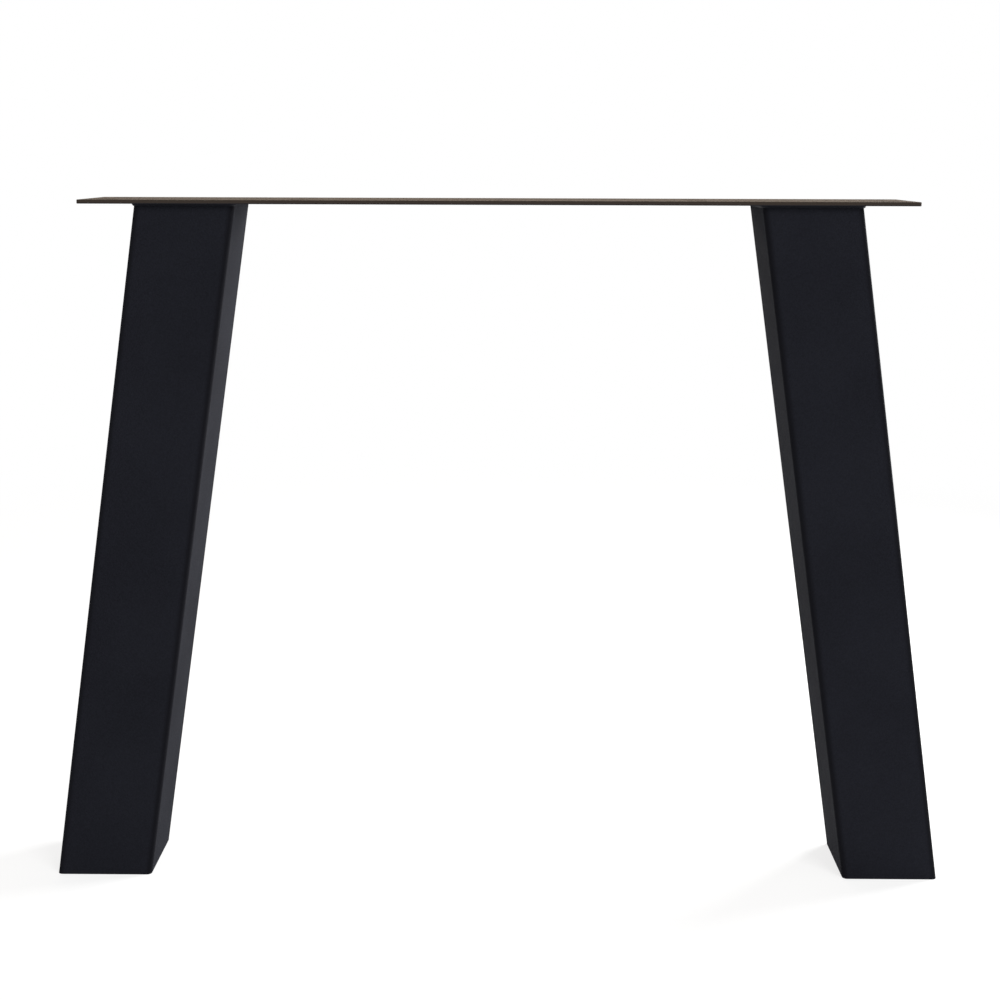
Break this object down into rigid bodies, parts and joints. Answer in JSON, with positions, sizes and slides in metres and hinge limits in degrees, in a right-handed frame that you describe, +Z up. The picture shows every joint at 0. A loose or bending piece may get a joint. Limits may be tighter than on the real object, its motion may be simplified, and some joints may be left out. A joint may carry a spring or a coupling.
{
  "type": "trestle table leg",
  "caption": "Welded steel A-shaped trestle leg: mitred box-section legs under a flat slotted top plate, for holding up one end of a table top.",
  "frame": {"origin": "on the floor, midway between the two feet", "axes": "+X along the top plate, +Y across the plate, +Z up to the table top"},
  "size_m": [0.95, 0.12, 0.72],
  "materials": {
    "top_plate": "fine-textured matt black powder coat on a flat laser-cut plate",
    "leg_tube": "fine-textured matt black powder coat on square box section",
    "weld": "fine-textured matt black powder coat over a rippled fillet weld",
    "foot_plate": "fine-textured matt black powder coat on the plate that closes a foot",
    "foot_weld": "fine-textured matt black powder coat over a weld ground flush",
    "leveller_nut": "plain steel weld nut, masked from the coating"
  },
  "bodies": {
    "root": {"top_plate": "top_plate", "leg_tube_left": "leg_tube", "leg_tube_right": "leg_tube", "head_weld_left": "weld", "head_weld_right": "weld", "foot_plate_left": "foot_plate", "foot_plate_right": "foot_plate", "foot_weld_left": "foot_weld", "foot_weld_right": "foot_weld", "leveller_nut_left": "leveller_nut", "leveller_nut_right": "leveller_nut"}
  },
  "joints": []
}
